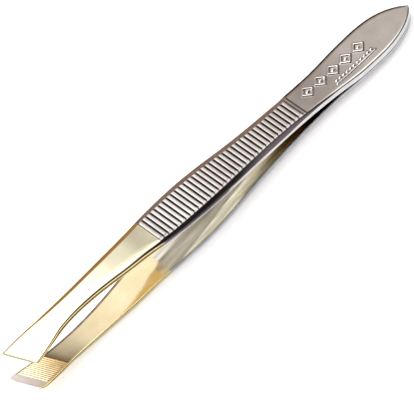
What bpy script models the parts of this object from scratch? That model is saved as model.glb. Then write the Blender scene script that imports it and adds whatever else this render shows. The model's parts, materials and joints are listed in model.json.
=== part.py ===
"""Slant tweezers: two stamped spring arms, spot-welded together in a pointed leaf at the tail.

The arms are drawn in the tweezers' own frame, in millimetres: X runs from the tail's point to the
tips, Y across the width and Z out of the mid-plane, which the two arms mirror. The empty
tweezers_at_rest then lays the whole tool on a table, on its tail and on the belly of its lower arm.
"""
import math

import bmesh
import bpy
from mathutils import Matrix, Vector

MM = 0.001
COLLECTION = "slant_tweezers"
CUTTERS = "slant_tweezers_cutters"

# Each arm is one strip. Its columns, in millimetres: distance from the tail, half of the gap between
# the two inner faces, half width, thickness, height of the upright side wall, half width of the top.
ARM = (
    (11.4, 0.15, 3.84, 1.17, 0.96, 3.58),
    (15.5, 0.15, 3.73, 1.17, 0.96, 3.47),
    (20.5, 0.34, 3.29, 1.21, 1.01, 3.04),
    (27.0, 0.83, 3.08, 1.26, 1.06, 2.83),
    (34.0, 1.34, 3.17, 1.26, 1.00, 2.61),
    (42.0, 1.96, 3.56, 1.15, 0.75, 2.76),
    (48.0, 2.59, 3.93, 1.02, 0.50, 2.98),
    (54.0, 3.05, 4.06, 0.95, 0.42, 3.11),
    (61.0, 3.49, 3.71, 0.88, 0.42, 2.89),
    (68.0, 4.11, 2.93, 0.99, 0.50, 2.26),
    (75.0, 4.65, 2.31, 0.97, 0.49, 1.76),
    (81.0, 4.80, 2.04, 0.88, 0.44, 1.52),
    (86.0, 4.53, 2.14, 0.77, 0.39, 1.67),
    (89.3, 4.06, 2.45, 0.64, 0.33, 2.03),
    (93.85, 3.39, 2.77, 0.35, 0.20, 2.58),
)
HALF_GAP, HALF_WIDTH, THICKNESS, WALL, TOP = 1, 2, 3, 4, 5

TIP = ARM[-1][0]                  # middle of the slanted tip; its long corner reaches 95 mm
SLANT = math.radians(21.5)
SLANT_FROM, SLANT_FULL = 79.5, 86.8

LEAF = ARM[0][0]                  # the leaf is widest here and closes to a point at the tail
TAIL_START = 0.12
LEAF_ROUNDNESS, LEAF_FULLNESS = 2.5, 0.76

FLEXURE = 27.5                    # where the sprung part of each arm turns
PLATING = 63.2                    # edge of the gold plating
CUT = 0.3                         # clear distance between neighbouring pieces

RIBS = 35
RIB_FIRST, RIB_PITCH = 28.85, 0.985
RIB_HEIGHT, RIB_GROOVE = 0.40, 0.36
RIB_INSET = 0.12                  # the ribs stop this far inside the strip's flat top

TEETH = 12
TOOTH_FIRST, TOOTH_PITCH, TOOTH_DEPTH = 87.8, 0.43, 0.11

WELDS = (6.5, 13.5)               # distances of the two spot welds from the tail
WELD_RADIUS, WELD_HALF_HEIGHT = 1.3, 0.30

RELIEF_HEIGHT, RELIEF_ROOT = 0.18, 0.15
LOZENGES = 5
LOZENGE_FIRST, LOZENGE_PITCH = 11.9, 3.1
LOZENGE_LENGTH, LOZENGE_WIDTH, LOZENGE_Y = 1.15, 1.25, -0.45
BAR_FROM, BAR_TO, BAR_Y, BAR_WIDTH = 11.4, 19.9, 1.75, 0.45

FINISHES = {
    "satin_nickel": ((0.56, 0.54, 0.52), 0.38),
    "polished_nickel": ((0.74, 0.72, 0.71), 0.16),
    "gold_plate": ((0.93, 0.74, 0.38), 0.10),
    "bare_steel": ((0.60, 0.56, 0.55), 0.30),
}


def slope_at(index, column):
    """Slope of a column of ARM at one of its rows, from the rows on either side."""
    low = ARM[max(index - 1, 0)]
    high = ARM[min(index + 1, len(ARM) - 1)]
    return (high[column] - low[column]) / (high[0] - low[0])


def along(x, column):
    """A column of ARM at any distance x from the tail, as a smooth curve through its rows."""
    if x <= ARM[0][0]:
        return ARM[0][column]
    index = 0
    while index < len(ARM) - 2 and x > ARM[index + 1][0]:
        index += 1
    low, high = ARM[index], ARM[index + 1]
    span = high[0] - low[0]
    t = (x - low[0]) / span
    start = (2 * t**3 - 3 * t**2 + 1) * low[column] + (t**3 - 2 * t**2 + t) * span * slope_at(index, column)
    end = (3 * t**2 - 2 * t**3) * high[column] + (t**3 - t**2) * span * slope_at(index + 1, column)
    return start + end


def half_width(x):
    """Half width of the strip: the leaf's pointed arch, then the shank and the jaw."""
    if x >= LEAF:
        return along(x, HALF_WIDTH)
    arch = 1.0 - (1.0 - x / LEAF) ** LEAF_ROUNDNESS
    return ARM[0][HALF_WIDTH] * arch**LEAF_FULLNESS


def skew(x):
    """How far the sections lean towards the slant of the tip, from 0 to tan(SLANT)."""
    t = min(max((x - SLANT_FROM) / (SLANT_FULL - SLANT_FROM), 0.0), 1.0)
    return math.tan(SLANT) * t * t * (3 - 2 * t)


def top_height(x):
    """Height of the strip's outer face above the mid-plane."""
    return along(x, HALF_GAP) + along(x, THICKNESS)


def outermost(x):
    """Height of whatever stands furthest out at x: the ribs along the grip, the outer face elsewhere."""
    ribbed = RIB_FIRST < x < RIB_FIRST + RIB_PITCH * (RIBS - 1)
    return top_height(x) + (RIB_HEIGHT if ribbed else 0.0)


def section(x, side, ribbed=False):
    """The strip's outline at x, as points; side is 1 for the upper arm and -1 for the lower one."""
    inner = along(x, HALF_GAP)
    wide = half_width(x)
    top = min(along(x, TOP), wide * 0.94)
    half = [(wide, 0.0), (wide, along(x, WALL)), (top, along(x, THICKNESS))]
    if ribbed:
        half += [(top - RIB_INSET, along(x, THICKNESS)), (top - RIB_INSET, along(x, THICKNESS) + RIB_HEIGHT)]
    outline = half + [(-y, z) for y, z in reversed(half)]
    return [Vector((x - skew(x) * y, y, side * (inner + z))) for y, z in outline]


def steps(start, end, longest):
    """Evenly spaced distances from start to end, no further apart than longest."""
    count = max(1, math.ceil((end - start) / longest))
    return [start + (end - start) * i / count for i in range(count + 1)]


def collection(name):
    made = bpy.data.collections.new(name)
    bpy.context.scene.collection.children.link(made)
    return made


def finish(name):
    """The named Principled material, made the first time it is asked for."""
    if name in bpy.data.materials:
        return bpy.data.materials[name]
    colour, roughness = FINISHES[name]
    material = bpy.data.materials.new(name)
    material.use_nodes = True
    shader = material.node_tree.nodes["Principled BSDF"]
    shader.inputs["Base Color"].default_value = (*colour, 1.0)
    shader.inputs["Metallic"].default_value = 1.0
    shader.inputs["Roughness"].default_value = roughness
    return material


def add_object(name, form, parent, origin):
    """An object made from a bmesh drawn in millimetres, with its origin at a point in the same frame."""
    bmesh.ops.recalc_face_normals(form, faces=form.faces)
    bmesh.ops.transform(form, matrix=Matrix.Scale(MM, 4) @ Matrix.Translation(-origin), verts=form.verts)
    mesh = bpy.data.meshes.new(name)
    form.to_mesh(mesh)
    form.free()
    made = bpy.data.objects.new(name, mesh)
    made.parent = parent
    return made


def add_piece(name, form, parent, origin, slot):
    """One named piece of the tweezers, with its own material."""
    made = add_object(name, form, parent, origin)
    made.data.materials.append(finish(slot))
    bpy.data.collections[COLLECTION].objects.link(made)
    return made


def cut_with(piece, name, form, origin, operation="DIFFERENCE"):
    """Apply a cutter, or with UNION a raised form, to a piece."""
    tool = add_object(name, form, piece.parent, origin)
    tool.hide_render = True
    tool.display_type = "WIRE"
    bpy.data.collections[CUTTERS].objects.link(tool)
    boolean = piece.modifiers.new(name, "BOOLEAN")
    boolean.operation = operation
    boolean.solver = "EXACT"
    boolean.object = tool


def loft(sections):
    """A closed strip through sections that all have the same number of points."""
    form = bmesh.new()
    rings = [[form.verts.new(point) for point in points] for points in sections]
    count = len(rings[0])
    for ring, following in zip(rings, rings[1:]):
        for i in range(count):
            j = (i + 1) % count
            form.faces.new((ring[i], ring[j], following[j], following[i]))
    form.faces.new(rings[0])
    form.faces.new(reversed(rings[-1]))
    return form


def add_box(form, size, place):
    """A box added to a bmesh: its size in millimetres, and the matrix that puts it in place."""
    bmesh.ops.create_cube(form, size=1.0, matrix=place @ Matrix.Diagonal((*size, 1.0)))


def on_top(x, side):
    """Matrix that stands a form on the strip's outer face at x, leaning with the strip."""
    reach = 0.5
    lean = math.atan2(top_height(x + reach) - top_height(x - reach), 2 * reach)
    place = Matrix.Translation((x, 0.0, side * top_height(x)))
    return place @ Matrix.Rotation(-side * lean, 4, "Y")


def leaf(name, side, parent):
    """Tail end of an arm: half of the pointed leaf, as far as the flexure, with its weld pockets."""
    end = FLEXURE - CUT / 2
    tail = [TAIL_START, 0.5, 1.1, 1.9, 3.0, 4.3, 6.0, 8.0]
    stations = tail + steps(LEAF, end, 2.6)
    piece = add_piece(name, loft([section(x, side) for x in stations]), parent, Vector(), "satin_nickel")
    pockets = bmesh.new()
    depth = WELD_HALF_HEIGHT + CUT
    for x in WELDS:
        bmesh.ops.create_cone(pockets, cap_ends=True, segments=24, radius1=WELD_RADIUS + CUT,
                              radius2=WELD_RADIUS + CUT, depth=2 * depth, matrix=Matrix.Translation((x, 0, 0)))
    cut_with(piece, name + "_weld_pockets", pockets, Vector())
    return piece


def relief(piece):
    """Raised ornament on the upper leaf: a row of lozenges over a short bar."""
    form = bmesh.new()
    height = RELIEF_HEIGHT + RELIEF_ROOT
    middle = (RELIEF_HEIGHT - RELIEF_ROOT) / 2
    for i in range(LOZENGES):
        x = LOZENGE_FIRST + LOZENGE_PITCH * i
        place = on_top(x, 1) @ Matrix.Translation((0, LOZENGE_Y, middle))
        bmesh.ops.create_cone(form, cap_ends=True, segments=4, radius1=1.0, radius2=0.8, depth=height,
                              matrix=place @ Matrix.Diagonal((LOZENGE_LENGTH, LOZENGE_WIDTH, 1.0, 1.0)))
    place = on_top((BAR_FROM + BAR_TO) / 2, 1) @ Matrix.Translation((0, BAR_Y, middle - 0.08))
    add_box(form, (BAR_TO - BAR_FROM, BAR_WIDTH, height + 0.16), place)
    cut_with(piece, "leaf_relief", form, Vector(), "UNION")


def shank(name, side, parent, origin):
    """Sprung middle of an arm, which widens into the ribbed finger grip."""
    stations = steps(FLEXURE + CUT / 2, PLATING - CUT / 2, 3.0)
    ribbed = loft([section(x, side, ribbed=True) for x in stations])
    piece = add_piece(name, ribbed, parent, origin, "polished_nickel")
    grooves = bmesh.new()
    for i in range(RIBS + 1):
        x = RIB_FIRST + RIB_PITCH * (i - 0.5)
        long = RIB_GROOVE if 0 < i < RIBS else RIB_GROOVE + RIB_PITCH
        shift = 0.0 if 0 < i < RIBS else math.copysign(RIB_PITCH / 2, i - 1)
        place = on_top(x + shift, side) @ Matrix.Translation((0, 0, side * RIB_HEIGHT))
        add_box(grooves, (long, 10.0, 2 * (RIB_HEIGHT - 0.08)), place)
    cut_with(piece, name + "_grooves", grooves, origin)
    return piece


def jaw(name, side, parent, origin):
    """Gold-plated front of an arm, narrowing to a neck and ending in the slanted, toothed tip."""
    stations = steps(PLATING + CUT / 2, SLANT_FROM, 2.8) + steps(SLANT_FROM, TIP, 1.5)[1:]
    piece = add_piece(name, loft([section(x, side) for x in stations]), parent, origin, "gold_plate")
    teeth = bmesh.new()
    for i in range(TEETH):
        x = TOOTH_FIRST + TOOTH_PITCH * i
        lean = math.atan2(along(x + 0.5, HALF_GAP) - along(x - 0.5, HALF_GAP), 1.0)
        place = Matrix.Translation((x, 0, side * along(x, HALF_GAP)))
        place = place @ Matrix.Rotation(SLANT, 4, "Z") @ Matrix.Rotation(-side * lean, 4, "Y")
        edge = math.sqrt(2) * TOOTH_DEPTH
        add_box(teeth, (edge, 12.0, edge), place @ Matrix.Rotation(math.radians(45), 4, "Y"))
    cut_with(piece, name + "_teeth", teeth, origin)
    return piece


def spot_weld(name, x, parent):
    """Nugget of fused steel between the two leaves."""
    form = bmesh.new()
    bmesh.ops.create_cone(form, cap_ends=True, segments=24, radius1=WELD_RADIUS, radius2=WELD_RADIUS,
                          depth=2 * WELD_HALF_HEIGHT)
    piece = add_piece(name, form, parent, Vector(), "bare_steel")
    piece.location = Vector((x, 0, 0)) * MM
    return piece


def empty(name, parent=None, location=(0, 0, 0)):
    made = bpy.data.objects.new(name, None)
    made.parent = parent
    made.location = Vector(location) * MM
    bpy.data.collections[COLLECTION].objects.link(made)
    return made


def resting_pitch():
    """Angle by which the mid-plane is tipped up once the tail and the lower arm's belly both touch."""
    foot = outermost(0.0)
    return max(math.atan2(outermost(x) - foot, x) for x in steps(LEAF, TIP, 0.25))


def lay_down(rest, pieces):
    """Tip the tool onto the table, with the middle of its footprint at the origin."""
    rest.rotation_euler = (0.0, -resting_pitch(), 0.0)
    bpy.context.view_layer.update()
    corners = [piece.matrix_world @ vertex.co for piece in pieces for vertex in piece.data.vertices]
    low = [min(corner[i] for corner in corners) for i in range(3)]
    high = [max(corner[i] for corner in corners) for i in range(3)]
    rest.location = (-(low[0] + high[0]) / 2, -(low[1] + high[1]) / 2, -low[2])


def main():
    for old in list(bpy.data.objects):
        bpy.data.objects.remove(old, do_unlink=True)
    collection(COLLECTION)
    collection(CUTTERS)
    rest = empty("tweezers_at_rest")
    pieces = []
    for arm, side in (("upper", 1), ("lower", -1)):
        hinge = Vector((FLEXURE, 0.0, side * (top_height(FLEXURE) - along(FLEXURE, THICKNESS) / 2)))
        pivot = empty(arm + "_flexure", rest, hinge)
        pieces.append(leaf(arm + "_leaf", side, rest))
        pieces.append(shank(arm + "_shank", side, pivot, hinge))
        pieces.append(jaw(arm + "_jaw", side, pivot, hinge))
    relief(pieces[0])
    pieces.append(spot_weld("rear_spot_weld", WELDS[0], rest))
    pieces.append(spot_weld("front_spot_weld", WELDS[1], rest))
    lay_down(rest, pieces)


main()
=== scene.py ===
"""Looks of the slant tweezers: the finely shaped surfaces of the two arms, their plating, and a studio.

The arms are drawn in the tweezers' own frame, in millimetres: X runs from the tail's point to the tips,
Y across the width and Z out of the mid-plane that the arms mirror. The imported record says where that
frame lies: its joints are the arms' flexures, and its mount's axis is square to the mid-plane.
"""
import json
import math

import bpy
import numpy as np
from mathutils import Matrix, Vector


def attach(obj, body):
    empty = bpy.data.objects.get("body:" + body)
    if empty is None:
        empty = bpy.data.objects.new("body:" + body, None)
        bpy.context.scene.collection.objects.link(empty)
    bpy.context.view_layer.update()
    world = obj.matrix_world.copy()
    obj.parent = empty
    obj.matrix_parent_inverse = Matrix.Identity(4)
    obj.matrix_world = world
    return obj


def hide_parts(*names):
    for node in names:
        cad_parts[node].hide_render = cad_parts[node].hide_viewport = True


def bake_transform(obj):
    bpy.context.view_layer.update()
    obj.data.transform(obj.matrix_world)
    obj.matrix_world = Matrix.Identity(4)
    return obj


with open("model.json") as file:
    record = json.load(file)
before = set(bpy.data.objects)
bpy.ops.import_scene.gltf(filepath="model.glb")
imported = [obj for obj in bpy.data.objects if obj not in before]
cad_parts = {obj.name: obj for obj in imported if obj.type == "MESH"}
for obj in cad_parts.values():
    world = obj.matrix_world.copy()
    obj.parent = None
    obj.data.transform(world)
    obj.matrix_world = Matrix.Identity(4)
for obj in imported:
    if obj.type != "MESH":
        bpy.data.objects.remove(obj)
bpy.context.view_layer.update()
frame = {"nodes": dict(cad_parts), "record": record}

MM = 0.001

# Each arm is one strip. Its columns, in millimetres: distance from the tail, half of the gap between
# the two inner faces, half width, thickness, height of the side wall, half width of the top.
ARM = np.array((
    (0.0, 0.02, 3.84, 1.30, 1.15, 3.42),
    (11.4, 0.02, 3.84, 1.30, 1.15, 3.42),
    (15.5, 0.04, 3.73, 1.28, 1.13, 3.31),
    (20.5, 0.34, 3.29, 1.21, 1.06, 2.89),
    (27.0, 0.83, 3.08, 1.26, 0.84, 2.60),
    (34.0, 1.34, 3.17, 1.26, 0.56, 2.45),
    (42.0, 1.96, 3.56, 1.15, 0.50, 2.64),
    (48.0, 2.59, 3.93, 1.02, 0.50, 2.92),
    (54.0, 3.05, 4.06, 0.95, 0.50, 3.07),
    (61.0, 3.49, 3.71, 0.88, 0.55, 2.85),
    (68.0, 4.11, 2.93, 0.99, 0.70, 2.08),
    (75.0, 4.65, 2.31, 0.97, 0.69, 1.50),
    (81.0, 4.80, 2.04, 0.88, 0.62, 1.25),
    (86.0, 4.53, 2.14, 0.77, 0.60, 1.50),
    (89.3, 4.06, 2.45, 0.66, 0.53, 2.00),
    (93.85, 3.39, 2.77, 0.40, 0.31, 2.50),
))
HALF_GAP, HALF_WIDTH, THICKNESS, WALL, TOP = 1, 2, 3, 4, 5

LEAF = 11.4                              # length of the pointed arch at the tail
LEAF_ROUNDNESS, LEAF_FULLNESS = 2.5, 0.76
TAIL_START = 0.05                        # first section, where the arch already has some width
TAIL_DRIFT, TAIL_DRIFT_FROM = 0.30, 7.0  # how far the point lies towards +Y, and where that starts
SHOULDER = 27.5                          # end of the satin leaf, where the arm flexes
PLATING = 62.85                          # edge of the gold plating
TIP = ARM[-1][0]
SLANT = math.radians(21.5)
SLANT_FROM, SLANT_FULL = 79.5, 86.8      # the sections turn to the slant between these

RIBS, RIB_FIRST, RIB_PITCH = 35, 28.87, 0.985
RIB_HEIGHT, RIB_HALF_WIDTH, RIB_SLOPE = 0.34, 0.43, 0.12
RIB_INSET, RIB_ROUND = 0.01, 0.16        # clearance at the ribs' ends, and the rounding of their corners
RIB_CROWN, RIB_LEAN = 0.02, 0.03         # swell of a rib's top, and its fall from the middle to the front
RIB_LINE, RIB_LINE_SHARE = 0.02, 0.32    # depth of the two drawn lines, and where they lie on the half width
SHOULDER_GROOVES = (0.12, 0.72)          # two thin grooves, this far past the shoulder
SHOULDER_GROOVE_DEPTH, SHOULDER_GROOVE_RIM, SHOULDER_GROOVE_FLOOR = 0.12, 0.13, 0.03

PAD_FROM, PAD_TO, PAD_RAISE = 87.35, 92.63, 0.06
TOOTH_PITCH, TOOTH_DEPTH = 0.44, 0.11

RELIEF_HEIGHT = 0.20
LOZENGES, LOZENGE_FIRST, LOZENGE_PITCH, LOZENGE_Y = 5, 11.9, 3.1, -0.45
LOZENGE_LONG, LOZENGE_TALL = 1.42, 1.35  # half length and half width
LOZENGE_LINE = 0.80                      # where the frame's line lies, as a share of those
BEADS, BEAD_FIRST, BEAD_PITCH, BEAD_Y = 11, 10.8, 0.85, 1.60
BAR_FROM, BAR_TO, BAR_Y = 10.1, 20.0, 2.22
BAR_SHARE = 0.8                          # height of the bar as a share of the relief

# Edges of the strip. A pair holds how far a rounding reaches along the sides before and after its corner.
CORNERS = {1: 0.35, -1: 0.85}            # rounding of each arm's tip corners
REACH = {1: 0.0, -1: 0.45}               # how much longer each arm is than its profile, all past the pad
ROUND = {1: (0.16, 0.10), -1: (0.30, 0.18)}     # rounding of each arm's inner edges
LIP = {1: (0.30, 0.60), -1: (0.78, 0.88)}       # where each arm's lip ends, as shares of its wall
WALL_SHARE = {1: 0.0, -1: 0.85}          # least share of each arm's thickness that its wall takes
FAR_SLOPE = 0.34                         # steepest slope of the -Y side's bevel
SIDE_SHARE = 0.45                        # most of a side that the rounding of one corner takes
LIP_ROUND = (0.03, 0.03)
NEAR_TURN, FAR_TURN = (0.26, 0.40), (0.12, 0.12)
CROWN_DROP = 0.24                        # how far the rounding of the top's edges reaches down
LEAST_TOP, MOST_INSET = 0.55, 0.3        # least top as a share of the width, most inset as one of the top

# Points around each section: the inner face, the flat top, each rounding, and each corner of the lip.
INNER_STEPS, TOP_STEPS, FILLET_STEPS, LIP_STEPS = 22, 90, 7, 3
TOP_PLACES = np.linspace(1, -1, TOP_STEPS)
TOP_SPREAD = np.sign(TOP_PLACES) * np.abs(TOP_PLACES) ** 0.85     # a little closer together towards the edges
INNER_COUNT = INNER_STEPS - 2
EDGE_COUNT = 3 * FILLET_STEPS + 2 * LIP_STEPS
TOP_FIRST = INNER_COUNT + EDGE_COUNT
TOP_COUNT = TOP_STEPS - 2
FAR_FIRST = TOP_FIRST + TOP_COUNT
LIP_START = 4                            # the point of the inner edge's rounding where the lip's plate starts


# ---------------------------------------------------------------- shape of the strip


def slopes(table):
    """Slope of each column at each row, from the rows on either side."""
    ahead = np.vstack((table[1:], table[-1:]))
    behind = np.vstack((table[:1], table[:-1]))
    return (ahead - behind) / (ahead[:, :1] - behind[:, :1])


ARM_SLOPES = slopes(ARM)


def along(x, column):
    """A column of ARM at distances x from the tail, as a smooth curve through its rows."""
    x = np.asarray(x, float)
    i = np.clip(np.searchsorted(ARM[:, 0], x, side="right") - 1, 0, len(ARM) - 2)
    span = ARM[i + 1, 0] - ARM[i, 0]
    t = (x - ARM[i, 0]) / span
    leaving, arriving = span * ARM_SLOPES[i, column], span * ARM_SLOPES[i + 1, column]
    start = (2 * t**3 - 3 * t**2 + 1) * ARM[i, column] + (t**3 - 2 * t**2 + t) * leaving
    end = (3 * t**2 - 2 * t**3) * ARM[i + 1, column] + (t**3 - t**2) * arriving
    return start + end


def ease(low, high, value):
    """Smooth step from 0 at low to 1 at high."""
    t = np.clip((value - low) / (high - low), 0.0, 1.0)
    return t * t * (3 - 2 * t)


def half_width(x):
    """Half width of the strip, which closes to a pointed arch at the leaf."""
    arch = (1.0 - (1.0 - np.clip(x / LEAF, 0, 1)) ** LEAF_ROUNDNESS) ** LEAF_FULLNESS
    return along(x, HALF_WIDTH) * arch


def corner_loss(x, radius):
    """How much the rounding of the tip's corners takes off the half width."""
    inside = np.clip((x - (TIP - radius)) / radius, 0, 1)
    return radius * (1 - np.sqrt(1 - inside**2))


def skew(x):
    """How far the sections lean towards the slant of the tip, from 0 to tan(SLANT)."""
    return math.tan(SLANT) * ease(SLANT_FROM, SLANT_FULL, x)


def rib_relief(x, y, left, right):
    """Height of the grip's ribs: bars across the flat top, with rounded corners and two drawn lines."""
    nearest = np.clip(np.round((x - RIB_FIRST) / RIB_PITCH), 0, RIBS - 1) * RIB_PITCH + RIB_FIRST
    reach = (right - left) / 2 - RIB_INSET - RIB_ROUND
    off = np.abs(y - (left + right) / 2)
    past = np.maximum(np.abs(x - nearest) - RIB_HALF_WIDTH + RIB_ROUND, 0.0)
    away = np.hypot(past, np.maximum(off - reach, 0.0)) - RIB_ROUND
    bar = RIB_HEIGHT * ease(RIB_SLOPE, 0.0, away + RIB_SLOPE)
    across = (x - nearest) / RIB_HALF_WIDTH
    lines = sum(ease(RIB_LINE_SHARE, 0.0, np.abs(across + way * RIB_LINE_SHARE)) for way in (1, -1))
    swell = RIB_CROWN * (1 - across**2) - RIB_LEAN * across - RIB_LINE * lines
    return bar + np.where(away < 0, swell, 0.0)


def leaf_relief(x, y):
    """Height of the raised ornament on the upper leaf: lozenge frames with beads, and a beaded bar."""
    i = np.clip(np.round((x - LOZENGE_FIRST) / LOZENGE_PITCH), 0, LOZENGES - 1)
    dx, dy = x - LOZENGE_FIRST - i * LOZENGE_PITCH, y - LOZENGE_Y
    ring = np.abs(dx) / LOZENGE_LONG + np.abs(dy) / LOZENGE_TALL
    frame_line = ease(0.30, 0.04, np.abs(ring - LOZENGE_LINE))
    bead = ease(0.40, 0.08, np.hypot(dx, dy))
    j = np.clip(np.round((x - BEAD_FIRST) / BEAD_PITCH), 0, BEADS - 1)
    small_bead = ease(0.36, 0.08, np.hypot(x - BEAD_FIRST - j * BEAD_PITCH, y - BEAD_Y))
    bar = ease(0.22, 0.06, np.abs(y - BAR_Y))
    bar = bar * ease(BAR_FROM, BAR_FROM + 0.3, x) * ease(BAR_TO, BAR_TO - 0.3, x)
    return RELIEF_HEIGHT * np.maximum.reduce((frame_line, bead, small_bead, BAR_SHARE * bar))


def shoulder_relief(x):
    """Depth of the thin grooves where the satin leaf ends at the grip."""
    grooves = sum(ease(SHOULDER_GROOVE_RIM, SHOULDER_GROOVE_FLOOR, np.abs(x - SHOULDER - place))
                  for place in SHOULDER_GROOVES)
    return -SHOULDER_GROOVE_DEPTH * grooves


def pad_relief(x, y, left, right):
    """How far the inner face stands towards the other arm: the toothed pad and its raised base."""
    on_pad = ease(PAD_FROM - 0.12, PAD_FROM + 0.05, x) * ease(PAD_TO + 0.12, PAD_TO - 0.02, x)
    inside = ease(0.10, 0.32, np.minimum(y - left, right - y))
    tooth = -0.5 * math.cos(2 * math.pi * (x - PAD_FROM) / TOOTH_PITCH)
    return on_pad * (PAD_RAISE + TOOTH_DEPTH * tooth * inside)


def fillet(before, corner, after, reaches, count):
    """Points along the rounding of an outline's corner, which may reach unlike ways along its sides."""
    back, forth = before - corner, after - corner
    long_back, long_forth = np.linalg.norm(back), np.linalg.norm(forth)
    a = corner + back / long_back * min(reaches[0], SIDE_SHARE * long_back)
    b = corner + forth / long_forth * min(reaches[1], SIDE_SHARE * long_forth)
    t = np.linspace(0, 1, count)[:, None]
    return (1 - t) ** 2 * a + 2 * t * (1 - t) * corner + t**2 * b


def crown(x, near):
    """How far the rounding of the top's edges reaches over the top, on its +Y side and on its -Y side."""
    leaf = 0.24 * ease(SHOULDER + 0.5, SHOULDER - 0.5, x)
    grip = 0.10 * ease(SHOULDER, SHOULDER + 1.0, x) * ease(54.0, 47.0, x)
    gold = ease(PLATING - 1.0, PLATING + 3.0, x) * ease(TIP + 1.0, 88.0, x)
    return 0.05 + leaf + (grip + 1.0 * gold if near else 0.20 * gold)


def far_inset(x):
    """How much nearer to the middle the top's -Y edge lies than its +Y edge."""
    grip = (0.04 + 0.30 * ease(52.0, 36.0, x)) * ease(SHOULDER, SHOULDER + 1.4, x)
    return 0.14 + grip * ease(TIP, 86.0, x)


def near_extra(x):
    """How much further the gold end reaches on its +Y side than on its -Y side."""
    return 0.40 * ease(PLATING, PLATING + 9.0, x) + 0.20 * ease(86.0, TIP, x)


def ledge(x):
    """How far the sheared lower lip of the strip's edge stands out past the wall above it."""
    gold = ease(PLATING - 3.0, PLATING + 3.0, x) * ease(92.0, 86.0, x)
    return 0.005 + 0.10 * ease(32.0, 40.0, x) + 0.13 * gold


def lean(x, near):
    """How far the wall leans in above its lip, on its +Y side and on its -Y side."""
    grip = 0.14 * ease(44.0, 50.0, x) * ease(PLATING + 2.0, PLATING - 2.0, x)
    return 0.02 + (grip if near else 0.0)


def edge_outline(x, wide, top, near, side):
    """One edge of the strip as (y, z), from the inner face up to the flat top."""
    thick = float(along(x, THICKNESS))
    wall = max(float(along(x, WALL)), WALL_SHARE[side] * thick)
    lip, foot = LIP[side]
    out = wide - float(ledge(x))
    if not near:
        wall = max(wall, thick - FAR_SLOPE * (out - top))
    corners = np.array(((0, 0), (wide, 0), (wide, lip * wall), (out, foot * wall),
                        (out - float(lean(x, near)), wall), (top, thick), (0, thick)), float)
    turn = NEAR_TURN if near else FAR_TURN
    reaches = (ROUND[side], LIP_ROUND, LIP_ROUND, turn, (CROWN_DROP, float(crown(x, near))))
    counts = (FILLET_STEPS, LIP_STEPS, LIP_STEPS, FILLET_STEPS, FILLET_STEPS)
    return np.vstack([fillet(*corners[i:i + 3], pair, count)
                      for i, (pair, count) in enumerate(zip(reaches, counts))])


def outline(x, side):
    """The strip's smooth outline at x, as (y, z) from the inner face, and where its two sides are.

    It runs counter-clockwise: the inner face, the +Y edge, the flat top, and the -Y edge.
    """
    wide = float(half_width(x) - corner_loss(x, CORNERS[side]))
    top = max(float(along(x, TOP) - along(x, HALF_WIDTH)) + wide, LEAST_TOP * wide)
    inset = min(float(far_inset(x)), MOST_INSET * top)
    extra = float(near_extra(x))
    near = edge_outline(x, wide + extra, top + 0.5 * extra, True, side)
    far = edge_outline(x, wide, top - inset, False, side) * (-1, 1)
    middle, half = (near[-1][0] + far[-1][0]) / 2, (near[-1][0] - far[-1][0]) / 2
    flat = np.stack((middle + half * TOP_SPREAD, np.full(TOP_STEPS, near[-1][1])), 1)[1:-1]
    inner = np.linspace(far[0][0], near[0][0], INNER_STEPS)[1:-1]
    ring = np.vstack((np.stack((inner, np.zeros_like(inner)), 1), near, flat, far[::-1]))
    return ring, (-wide, wide + extra)


def strip(stations, ornament, side):
    """Vertices of a stretch of arm, one ring per station, in the tweezers' frame, in millimetres."""
    rings = []
    for x in stations:
        ring, sides = outline(x, side)
        y, z = ring[:, 0].copy(), ring[:, 1].copy()
        left, right = ring[FAR_FIRST, 0], ring[TOP_FIRST - 1, 0]
        z[TOP_FIRST:FAR_FIRST] += ornament(x, y[TOP_FIRST:FAR_FIRST], left, right)
        z[:INNER_COUNT] -= pad_relief(x, y[:INNER_COUNT], *sides)
        height = float(along(x, HALF_GAP)) + z
        stretch = REACH[side] * float(ease(PAD_TO, TIP, x))
        drift = TAIL_DRIFT * max(0.0, 1 - x / TAIL_DRIFT_FROM) ** 2
        rings.append(np.stack((x + stretch - float(skew(x)) * y, y + drift, side * height), 1))
    return np.array(rings)


def no_relief(x, y, left, right):
    return 0.0


def grip_top(x, y, left, right):
    return rib_relief(x, y, left, right) + shoulder_relief(x)


def upper_leaf_top(x, y, left, right):
    return leaf_relief(x, y) * ease(0.0, 0.4, right - np.abs(y))


def spaced(start, end, step):
    return np.linspace(start, end, max(2, int(math.ceil((end - start) / step)) + 1))


def leaf_stations(fine):
    """Stations of a leaf, close at the point, and close under the ornament where there is one."""
    tail = TAIL_START + (LEAF - 2.4) * np.linspace(0, 1, 26) ** 1.6
    return np.concatenate((tail, spaced(tail[-1], SHOULDER, 0.08 if fine else 0.45)[1:]))


def grip_stations():
    """Stations of a shank, placed where each rib's flanks and top bend."""
    flank = np.array((0.28, 0.33, 0.38, 0.43, 0.46))
    offsets = np.concatenate(((-0.492,), -flank[::-1], (-0.14, 0.0, 0.14), flank))
    ribs = (RIB_FIRST + RIB_PITCH * np.arange(RIBS)[:, None] + offsets).reshape(-1)
    return np.concatenate((spaced(SHOULDER, ribs[0], 0.06)[:-1], ribs, (PLATING,)))


def jaw_stations():
    """Stations of a jaw, close along the teeth and closer still where the tip's corners round off."""
    teeth = spaced(PAD_FROM - 0.3, PAD_TO + 0.16, TOOTH_PITCH / 8)
    edge = TIP - 0.9 * np.linspace(1, 0, 18) ** 2
    neck = spaced(PLATING, teeth[0], 0.4)
    return np.concatenate((neck, teeth[1:], spaced(teeth[-1], edge[0], 0.12)[1:], edge[1:]))


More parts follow.
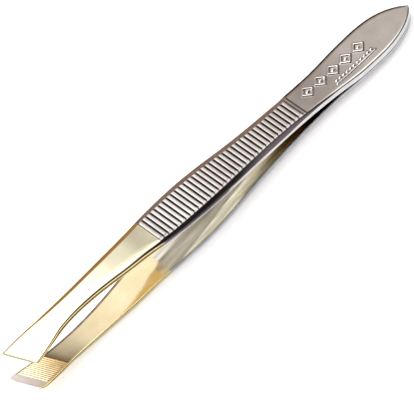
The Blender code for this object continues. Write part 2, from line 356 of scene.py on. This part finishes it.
def tool_to_row():
    """Matrix from the tweezers' frame to the row frame, from the record's mount and joints."""
    record = frame["record"]
    axis = Vector(record["mounts"][0]["axis"])
    pitch = math.atan2(axis.x, -axis.z)
    joints = record["behaviour"]["joints"]
    middle = (Vector(joints[0]["pos_m"]) + Vector(joints[1]["pos_m"])) / 2
    turn = Matrix.Rotation(-pitch, 4, "Y")
    from_shoulder = Matrix.Translation((-SHOULDER * MM, 0, 0))
    return Matrix.Translation(middle) @ turn @ from_shoulder @ Matrix.Scale(MM, 4)


TO_ROW = tool_to_row()


def along_row(x):
    """Where a distance from the tail falls along the row frame's X axis, in metres."""
    return (TO_ROW @ Vector((x, 0, 0))).x


def grid_faces(rings, around):
    """Quads of a closed strip, and its two end caps."""
    i = np.arange(rings - 1)[:, None] * around
    j = np.arange(around)[None, :]
    k = (j + 1) % around
    quads = np.stack((i + j, i + k, i + around + k, i + around + j), -1).reshape(-1, 4)
    last = (rings - 1) * around
    return quads.tolist(), [list(range(around))[::-1], [last + n for n in range(around)]]


def add_strip(name, stations, ornament, side, materials, choose, end=0):
    """A stretch of arm as an object; choose gives each face's material from its station and its place."""
    points = strip(stations, ornament, side)
    rings, around = points.shape[:2]
    quads, caps = grid_faces(rings, around)
    mesh = bpy.data.meshes.new(name)
    mesh.from_pydata(points.reshape(-1, 3).tolist(), [], quads + caps)
    if side < 0:
        mesh.flip_normals()
    mesh.transform(TO_ROW)
    for material in materials:
        mesh.materials.append(material)
    middles = (np.asarray(stations)[:-1] + np.asarray(stations)[1:]) / 2
    picks = [choose(x, np.arange(around), ring[:, 1]) for x, ring in zip(middles, points)]
    picks = np.concatenate((*picks, (0, end)))
    mesh.polygons.foreach_set("material_index", picks.astype(np.int32))
    mesh.shade_smooth()
    mesh.set_sharp_from_angle(angle=math.radians(38))
    mesh.update()
    made = bpy.data.objects.new(name, mesh)
    bpy.context.scene.collection.objects.link(made)
    return made


# ---------------------------------------------------------------- materials


def new_material(name):
    material = bpy.data.materials.new(name)
    material.use_nodes = True
    nodes, links = material.node_tree.nodes, material.node_tree.links
    return material, nodes, links, nodes["Principled BSDF"]


def noise(nodes, links, scale, stretch, detail=4.0):
    """Noise in the object's own coordinates, in millimetres, drawn out along an axis by stretch."""
    place = nodes.new("ShaderNodeTexCoord")
    mapping = nodes.new("ShaderNodeMapping")
    mapping.inputs["Scale"].default_value = [s / MM for s in stretch]
    texture = nodes.new("ShaderNodeTexNoise")
    texture.inputs["Scale"].default_value = scale
    texture.inputs["Detail"].default_value = detail
    links.new(place.outputs["Object"], mapping.inputs["Vector"])
    links.new(mapping.outputs["Vector"], texture.inputs["Vector"])
    return texture


NOISE_LOW, NOISE_HIGH = 0.3, 0.7         # the part of a noise's range that is used


def ranged(nodes, links, source, low, high):
    """Map a noise onto low to high."""
    remap = nodes.new("ShaderNodeMapRange")
    remap.inputs["From Min"].default_value = NOISE_LOW
    remap.inputs["From Max"].default_value = NOISE_HIGH
    remap.inputs["To Min"].default_value = low
    remap.inputs["To Max"].default_value = high
    links.new(source, remap.inputs["Value"])
    return remap.outputs["Result"]


def tinted(nodes, links, source, dark, light):
    """Blend between two colours by a noise."""
    blend = nodes.new("ShaderNodeValToRGB")
    for stop, place, colour in zip(blend.color_ramp.elements, (NOISE_LOW, NOISE_HIGH), (dark, light)):
        stop.position = place
        stop.color = (*colour, 1)
    links.new(source, blend.inputs["Fac"])
    return blend.outputs["Color"]


def ramp(nodes, links, source, start, end, value=1.0):
    """Smooth rise from 0 at start to a value at end."""
    node = nodes.new("ShaderNodeMapRange")
    node.interpolation_type = "SMOOTHSTEP"
    node.inputs["From Min"].default_value = start
    node.inputs["From Max"].default_value = end
    node.inputs["To Max"].default_value = value
    links.new(source, node.inputs["Value"])
    return node.outputs["Result"]


def dulled(nodes, links, colour, start, end, tint, across=0.0):
    """A colour that a tint dulls before start and leaves clear past end, along X plus across times Y."""
    parts = nodes.new("ShaderNodeSeparateXYZ")
    links.new(nodes.new("ShaderNodeTexCoord").outputs["Object"], parts.inputs["Vector"])
    place = nodes.new("ShaderNodeMath")
    place.operation = "MULTIPLY_ADD"
    place.inputs[1].default_value = across
    links.new(parts.outputs["Y"], place.inputs[0])
    links.new(parts.outputs["X"], place.inputs[2])
    blend = nodes.new("ShaderNodeMix")
    blend.data_type = "RGBA"
    blend.blend_type = "MIX"
    blend.inputs["A"].default_value = (*tint, 1)
    blend.inputs["B"].default_value = (1, 1, 1, 1)
    links.new(ramp(nodes, links, place.outputs["Value"], start, end), blend.inputs["Factor"])
    product = nodes.new("ShaderNodeMix")
    product.data_type = "RGBA"
    product.blend_type = "MULTIPLY"
    product.inputs["Factor"].default_value = 1.0
    links.new(colour, product.inputs["A"])
    links.new(blend.outputs["Result"], product.inputs["B"])
    return product.outputs["Result"]


def metal(name, dark, light, rough, cloud, grain, grain_scale, bump,
          stretch=(1, 1, 1), drawn=(1, 1, 1), dull=()):
    """Plated metal: a cloudy tint from dark to light, roughness that varies, and a fine grain.

    cloud and grain_scale are how fine the clouds and the grain are, and drawn and stretch draw them out.
    grain is the grain's share of the roughness, and dull lists the stretches where a tint dulls the plate.
    """
    material, nodes, links, shader = new_material(name)
    shader.inputs["Metallic"].default_value = 1.0
    clouds = noise(nodes, links, cloud, drawn, detail=3.0)
    lines = noise(nodes, links, grain_scale, stretch)
    colour = tinted(nodes, links, clouds.outputs["Fac"], dark, light)
    for one in dull:
        colour = dulled(nodes, links, colour, *one)
    links.new(colour, shader.inputs["Base Color"])
    blend = nodes.new("ShaderNodeMix")
    blend.data_type = "FLOAT"
    blend.inputs["Factor"].default_value = grain
    links.new(clouds.outputs["Fac"], blend.inputs["A"])
    links.new(lines.outputs["Fac"], blend.inputs["B"])
    links.new(ranged(nodes, links, blend.outputs["Result"], *rough), shader.inputs["Roughness"])
    relief = nodes.new("ShaderNodeBump")
    relief.inputs["Strength"].default_value = bump
    relief.inputs["Distance"].default_value = 0.02 * MM
    links.new(lines.outputs["Fac"], relief.inputs["Height"])
    links.new(relief.outputs["Normal"], shader.inputs["Normal"])
    return material


SATIN = metal(
    "satin_nickel_plate", (0.345, 0.312, 0.285), (0.405, 0.370, 0.342), rough=(0.30, 0.38),
    cloud=0.35, grain=0.6, grain_scale=9.0, bump=0.30)
# Polished plate on the ornament, painted much lighter than the nickel plate as a highlight.
RAISED_HIGHLIGHT = metal(
    "raised_plate_painted_highlight", (0.80, 0.78, 0.76), (0.90, 0.88, 0.86), rough=(0.14, 0.22),
    cloud=0.6, grain=0.5, grain_scale=8.0, bump=0.10)
NICKEL = metal(
    "bright_nickel_plate", (0.56, 0.54, 0.52), (0.64, 0.62, 0.60), rough=(0.08, 0.18),
    cloud=0.4, grain=0.5, grain_scale=6.0, bump=0.06, stretch=(0.15, 1, 1))
RIB_NICKEL = metal(
    "rib_nickel_plate", (0.44, 0.42, 0.41), (0.54, 0.52, 0.51), rough=(0.12, 0.24),
    cloud=0.5, grain=0.6, grain_scale=8.0, bump=0.30, stretch=(1, 0.12, 1),
    dull=((along_row(26.0), along_row(60.0), (0.78, 0.75, 0.72)),))
# Nickel painted near black as shade: in the grooves between the ribs, at the shoulder, and down the leaf's -Y
# side.
SHADE_NICKEL = metal(
    "nickel_plate_painted_dark_as_shade", (0.05, 0.04, 0.035), (0.11, 0.09, 0.085), rough=(0.35, 0.50),
    cloud=0.9, grain=0.6, grain_scale=9.0, bump=0.20, stretch=(1, 0.3, 1))
# A lighter, bluish copy of the bright nickel plate for the -Y bevel: a painted reflection.
PAINTED_REFLECTION_NICKEL = metal(
    "nickel_plate_painted_reflection_far_bevel", (0.56, 0.58, 0.70), (0.64, 0.66, 0.79), rough=(0.10, 0.20),
    cloud=0.4, grain=0.5, grain_scale=6.0, bump=0.10, stretch=(0.15, 1, 1))
GOLD = metal(
    "bright_gold_plate", (0.90, 0.83, 0.60), (0.96, 0.90, 0.68), rough=(0.05, 0.12),
    cloud=0.3, grain=0.5, grain_scale=6.0, bump=0.04, stretch=(0.15, 1, 1))
# A browner copy of the gold plate for the -Y bevel: a painted reflection of the far side's brown
# surroundings.
PAINTED_REFLECTION_GOLD = metal(
    "gold_plate_painted_reflection_far_bevel", (0.84, 0.70, 0.34), (0.98, 0.82, 0.42), rough=(0.08, 0.16),
    cloud=0.5, grain=0.5, grain_scale=6.0, bump=0.10, stretch=(0.15, 1, 1))
# Gold painted dark as shade on the tip's edges, on its cut end and on its -Y bevel near the tip.
SHADE_GOLD_EDGE = metal(
    "gold_edge_painted_dark_as_shade", (0.30, 0.25, 0.12), (0.38, 0.32, 0.16), rough=(0.20, 0.30),
    cloud=0.5, grain=0.5, grain_scale=8.0, bump=0.10, stretch=(0.3, 1, 1))
# The pad's tint darkens it towards its rear edge: painted shade, clearing towards the tip.
PAD_GOLD = metal(
    "ground_gold_pad", (0.70, 0.60, 0.42), (0.82, 0.71, 0.52), rough=(0.24, 0.34),
    cloud=0.8, grain=0.5, grain_scale=8.0, bump=0.02, stretch=(1, 0.1, 1),
    dull=((along_row(87.0), along_row(92.5), (0.80, 0.72, 0.55)),))
# A dark line painted as shade along the lower jaw's -Y inner edge before the pad.
DARK_LINE_SHADE = metal(
    "dark_line_painted_as_shade", (0.15, 0.12, 0.10), (0.25, 0.21, 0.18), rough=(0.30, 0.45),
    cloud=0.8, grain=0.6, grain_scale=9.0, bump=0.20, stretch=(0.3, 1, 1))
BARE = metal(
    "bare_ground_steel", (0.80, 0.75, 0.74), (0.90, 0.85, 0.84), rough=(0.36, 0.48),
    cloud=0.8, grain=0.6, grain_scale=14.0, bump=0.25, stretch=(0.3, 1, 1))


def sheared_edge(name, dark, light, rough):
    """Plate on the sheared lip of an arm's edge."""
    return metal(
        name, dark, light, rough, cloud=0.6, grain=0.6, grain_scale=7.0, bump=0.20, stretch=(0.2, 1, 1))


def inner_nickel(name, *stretches):
    """Nickel plate of an arm's inner face, drawn along the arm, and painted darker towards the leaf as shade
    where the arms close together.
    """
    painted_shade_towards_leaf = (along_row(28.0), along_row(42.0), (0.62, 0.52, 0.40))
    return metal(
        name, (0.46, 0.44, 0.37), (0.96, 0.95, 0.88), rough=(0.06, 0.14), cloud=0.9, grain=0.5,
        grain_scale=2.2, bump=0.50, stretch=(0.03, 1, 1), drawn=(0.05, 1, 1), dull=(painted_shade_towards_leaf, *stretches))


def inner_gold(name, dark, light):
    """Gold plate of an arm's inner face, finely drawn along the arm."""
    return metal(
        name, dark, light, rough=(0.06, 0.14), cloud=0.35, grain=0.5, grain_scale=2.2, bump=0.20,
        stretch=(0.03, 1, 1))


# The plates that differ between the arms. The lower arm's lips and inner gold are darker copies, painted
# shade, and its inner nickel has an olive area with a slanted edge, a painted reflection.
PAINTED_REFLECTION_AREA = (along_row(35.2), along_row(33.2), (0.52, 0.50, 0.47), -7.65)
UPPER_PLATES = {
    "lip": sheared_edge("sheared_nickel_edge", (0.60, 0.60, 0.61), (0.70, 0.70, 0.71), (0.22, 0.34)),
    "gold_lip": sheared_edge("sheared_gold_edge", (0.78, 0.62, 0.26), (0.88, 0.73, 0.34), (0.22, 0.34)),
    "inner": inner_nickel("upper_inner_nickel_plate"),
    "inner_gold": inner_gold("deep_gold_plate", (0.94, 0.72, 0.32), (0.99, 0.78, 0.38)),
}
LOWER_PLATES = {
    "lip": sheared_edge("shaded_nickel_edge", (0.40, 0.42, 0.44), (0.50, 0.52, 0.54), (0.24, 0.36)),
    "gold_lip": sheared_edge("shaded_gold_edge", (0.48, 0.42, 0.22), (0.58, 0.52, 0.28), (0.24, 0.36)),
    "inner": inner_nickel("lower_inner_nickel_plate", PAINTED_REFLECTION_AREA),
    # A darker copy of the inner gold: painted shade under the upper arm.
    "inner_gold": inner_gold("lower_inner_gold_painted_shade", (0.43, 0.36, 0.22), (0.49, 0.41, 0.27)),
}

# Places of the plates in each piece's list.
LEAF_FLAT, LEAF_EDGE, LEAF_INNER, LEAF_FAR, LEAF_LIP, LEAF_RAISED = range(6)
GRIP_EDGE, GRIP_GROOVE, GRIP_INNER, GRIP_RIB, GRIP_LIP, GRIP_FAR = range(6)
JAW_GOLD, JAW_INNER, JAW_PAD, JAW_BARE, JAW_SHADE_EDGE, JAW_LIP, JAW_FAR, JAW_SHADED_LINE = range(8)


# ---------------------------------------------------------------- the arms


def on_lip(places, ledges=0):
    """Whether places lie on the sheared lip, on either edge, and on this many of the steps above it."""
    count, around = FILLET_STEPS + LIP_STEPS + ledges, len(places)
    near = (places >= INNER_COUNT + LIP_START) & (places < INNER_COUNT + count)
    far = (places >= around - count) & (places < around - LIP_START)
    return near | far


def on_far_bevel(places, start=2):
    """Whether places lie on the bevel of the -Y side, from this step of the top's rounding."""
    return (places >= FAR_FIRST + start) & (places < FAR_FIRST + 2 * FILLET_STEPS)


def leaf_faces(x, places, y):
    """Satin on the leaf's flat outer face, bright plate on its edges, and a line painted dark as shade down
    its -Y side.
    """
    flat = (places >= TOP_FIRST - FILLET_STEPS + 3) & (places < FAR_FIRST + FILLET_STEPS - 3)
    far = on_far_bevel(places, FILLET_STEPS - 3)
    kinds = (LEAF_FLAT, LEAF_FAR, LEAF_INNER, LEAF_LIP)
    return np.select((flat, far, places < INNER_COUNT, on_lip(places)), kinds, LEAF_EDGE)


def upper_leaf_faces(x, places, y):
    """The same, with the ornament polished and painted light as a highlight."""
    raised = (leaf_relief(x, y) > 0.08 * RELIEF_HEIGHT) & (places >= TOP_FIRST) & (places < FAR_FIRST)
    return np.where(raised, LEAF_RAISED, leaf_faces(x, places, y))


def grip_faces(x, places, y):
    """Plate of its own on the ribs, and one painted dark as shade in the grooves between them and at the
    shoulder.
    """
    off_rib = abs((x - RIB_FIRST) / RIB_PITCH - round((x - RIB_FIRST) / RIB_PITCH)) * RIB_PITCH
    ribbed = RIB_FIRST - 0.3 < x < RIB_FIRST + RIB_PITCH * RIBS
    groove = (ribbed and off_rib > RIB_HALF_WIDTH - 0.07) or shoulder_relief(x) < -0.03
    cut = (places >= TOP_FIRST - FILLET_STEPS + 2) & (places < FAR_FIRST) & groove
    top = (places >= TOP_FIRST + 1) & (places < FAR_FIRST - 2)
    kinds = (GRIP_GROOVE, GRIP_RIB, GRIP_INNER, GRIP_FAR, GRIP_LIP)
    found = (cut, top, places < INNER_COUNT, on_far_bevel(places), on_lip(places))
    return np.select(found, kinds, GRIP_EDGE)


def upper_jaw_faces(x, places, y):
    """Gold, painted dark as shade at the tip's edges, with a ground pad and a last stretch of bare steel
    inside.
    """
    end_edge = (places >= TOP_FIRST - 3) & (places < FAR_FIRST + FILLET_STEPS) & (x > TIP - 0.16)
    far_edge = on_far_bevel(places, FILLET_STEPS - 2) & (x > 88.0)
    inner = JAW_BARE if x > PAD_TO + 0.1 else JAW_PAD if x > PAD_FROM else JAW_INNER
    kinds = (inner, JAW_SHADE_EDGE, JAW_LIP, JAW_FAR)
    found = (places < INNER_COUNT, end_edge | far_edge, on_lip(places, LIP_STEPS + 1), on_far_bevel(places))
    return np.select(found, kinds, JAW_GOLD)


def lower_jaw_faces(x, places, y):
    """The same, but ground bare on its -Y side too past the pad, and with a dark line painted as shade along
    it before the pad.
    """
    ground = (x > PAD_TO + 0.1) & (places >= FAR_FIRST)
    shaded_line = (x < PAD_FROM) & (places >= len(places) - FILLET_STEPS)
    return np.select((ground, shaded_line), (JAW_BARE, JAW_SHADED_LINE), upper_jaw_faces(x, places, y))


def build_arm(arm, side, plates, leaf_top, leaf_choice, jaw_choice, jaw_end):
    """The three stretches of one arm; jaw_end is the plate of the tip's cut end."""
    body = arm + "_arm"
    leaf_plates = (SATIN, NICKEL, plates["inner"], SHADE_NICKEL, plates["lip"], RAISED_HIGHLIGHT)
    grip_plates = (NICKEL, SHADE_NICKEL, plates["inner"], RIB_NICKEL, plates["lip"], PAINTED_REFLECTION_NICKEL)
    jaw_plates = (GOLD, plates["inner_gold"], PAD_GOLD, BARE, SHADE_GOLD_EDGE, plates["gold_lip"], PAINTED_REFLECTION_GOLD, DARK_LINE_SHADE)
    leaf = add_strip(arm + "_leaf_skin", leaf_stations(side > 0), leaf_top, side, leaf_plates, leaf_choice)
    grip = add_strip(arm + "_grip_skin", grip_stations(), grip_top, side, grip_plates, grip_faces)
    jaw = add_strip(arm + "_jaw_skin", jaw_stations(), no_relief, side, jaw_plates, jaw_choice, jaw_end)
    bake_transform(leaf)
    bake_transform(grip)
    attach(jaw, body)
    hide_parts(arm + "_leaf")
    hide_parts(arm + "_shank")
    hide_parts(arm + "_jaw")


build_arm("upper", 1, UPPER_PLATES, upper_leaf_top, upper_leaf_faces, upper_jaw_faces, JAW_SHADE_EDGE)
build_arm("lower", -1, LOWER_PLATES, no_relief, leaf_faces, lower_jaw_faces, JAW_BARE)
for node in ("rear_spot_weld", "front_spot_weld"):
    for holder in frame["nodes"][node].material_slots:
        holder.material = BARE


# ---------------------------------------------------------------- studio


CAMERA_AZIMUTH, CAMERA_ELEVATION, CAMERA_ROLL = 149.95, 54.84, -19.6
CAMERA_DISTANCE = 0.8                    # metres
FIELD_MM = 69.12                         # width of the view at that distance
AIM = (48.42, 0.0, 0.0)                  # in the tweezers' frame
AIM_SHIFT_MM = (-0.935, -1.352)          # to the right and up in the picture
SENSOR_WIDTH = 36.0

# Edges of the overhead softbox as slopes, across over up, each from dark to full.
SOFTBOX_TAIL_EDGE, SOFTBOX_FAR_EDGE, SOFTBOX_NEAR_EDGE = (-1.08, -0.15), (-1.5, -0.3), (0.35, 0.05)
SOFTBOX_POWER = 2.6
# Colours of the room by the slope across Y, from its far wall, through a black screen, to its near wall.
ROOM = ((-1.10, (0.35, 0.22, 0.135)), (-0.75, (0.20, 0.185, 0.165)), (0.25, (0.20, 0.185, 0.165)),
        (0.45, (0.015, 0.010, 0.012)), (0.80, (0.020, 0.014, 0.018)), (1.90, (0.26, 0.22, 0.25)))
ROOM_FROM, ROOM_TO = -1.5, 3.0
FLOOR_HALF = 3.0
FLOOR_WHITE, FLOOR_GLOW = 0.86, 0.50


def add_floor():
    mesh = bpy.data.meshes.new("floor")
    corners = [(x * FLOOR_HALF, y * FLOOR_HALF, 0) for x, y in ((-1, -1), (1, -1), (1, 1), (-1, 1))]
    mesh.from_pydata(corners, [], [(0, 1, 2, 3)])
    material, nodes, links, shader = new_material("floor_white")
    shader.inputs["Base Color"].default_value = (FLOOR_WHITE, FLOOR_WHITE, FLOOR_WHITE, 1)
    shader.inputs["Roughness"].default_value = 0.9
    shader.inputs["Emission Color"].default_value = (1, 1, 1, 1)
    shader.inputs["Emission Strength"].default_value = FLOOR_GLOW
    mesh.materials.append(material)
    floor = bpy.data.objects.new("floor", mesh)
    bpy.context.scene.collection.objects.link(floor)


def add_camera():
    lens = bpy.data.cameras.new("camera")
    lens.sensor_width = SENSOR_WIDTH
    lens.lens = lens.sensor_width * CAMERA_DISTANCE / (FIELD_MM * MM)
    lens.clip_end = 100.0
    camera = bpy.data.objects.new("camera", lens)
    a, e = math.radians(CAMERA_AZIMUTH), math.radians(CAMERA_ELEVATION)
    back = Vector((math.sin(a) * math.cos(e), -math.cos(a) * math.cos(e), math.sin(e)))
    roll = Matrix.Rotation(math.radians(CAMERA_ROLL), 4, "Z")
    look = back.to_track_quat("Z", "Y").to_matrix().to_4x4() @ roll
    aim = TO_ROW @ Vector(AIM) + look.to_3x3() @ Vector((*AIM_SHIFT_MM, 0)) * MM
    camera.matrix_world = Matrix.Translation(aim + back * CAMERA_DISTANCE) @ look
    bpy.context.scene.collection.objects.link(camera)
    bpy.context.scene.camera = camera


def combine(nodes, links, operation, first, second):
    """A math node over two values, each an output or a plain number."""
    node = nodes.new("ShaderNodeMath")
    node.operation = operation
    for socket, value in zip(node.inputs, (first, second)):
        if isinstance(value, float):
            socket.default_value = value
        else:
            links.new(value, socket)
    return node.outputs["Value"]


def add_world():
    """A dim room with one wide soft light overhead, brightest towards the tips and fading at its edges."""
    world = bpy.data.worlds.new("studio")
    world.use_nodes = True
    nodes, links = world.node_tree.nodes, world.node_tree.links
    direction = nodes.new("ShaderNodeSeparateXYZ")
    links.new(nodes.new("ShaderNodeTexCoord").outputs["Generated"], direction.inputs["Vector"])
    height = combine(nodes, links, "MAXIMUM", direction.outputs["Z"], 0.02)
    across = combine(nodes, links, "DIVIDE", direction.outputs["X"], height)
    towards = combine(nodes, links, "DIVIDE", direction.outputs["Y"], height)
    light = ramp(nodes, links, across, *SOFTBOX_TAIL_EDGE, SOFTBOX_POWER)
    light = combine(nodes, links, "MULTIPLY", light, ramp(nodes, links, towards, *SOFTBOX_FAR_EDGE))
    light = combine(nodes, links, "MULTIPLY", light, ramp(nodes, links, towards, *SOFTBOX_NEAR_EDGE))
    softbox = nodes.new("ShaderNodeBackground")
    softbox.inputs["Color"].default_value = (1, 1, 1, 1)
    links.new(light, softbox.inputs["Strength"])
    walls = nodes.new("ShaderNodeValToRGB")
    stops = walls.color_ramp.elements
    while len(stops) < len(ROOM):
        stops.new(1.0)
    for stop, (slope, colour) in zip(stops, ROOM):
        stop.position = (slope - ROOM_FROM) / (ROOM_TO - ROOM_FROM)
        stop.color = (*colour, 1)
    place = nodes.new("ShaderNodeMapRange")
    place.inputs["From Min"].default_value = ROOM_FROM
    place.inputs["From Max"].default_value = ROOM_TO
    links.new(towards, place.inputs["Value"])
    links.new(place.outputs["Result"], walls.inputs["Fac"])
    links.new(walls.outputs["Color"], nodes["Background"].inputs["Color"])
    both = nodes.new("ShaderNodeAddShader")
    links.new(nodes["Background"].outputs["Background"], both.inputs[0])
    links.new(softbox.outputs["Background"], both.inputs[1])
    links.new(both.outputs["Shader"], nodes["World Output"].inputs["Surface"])
    bpy.context.scene.world = world


add_floor()
add_camera()
add_world()
bpy.context.scene.view_settings.view_transform = "Standard"
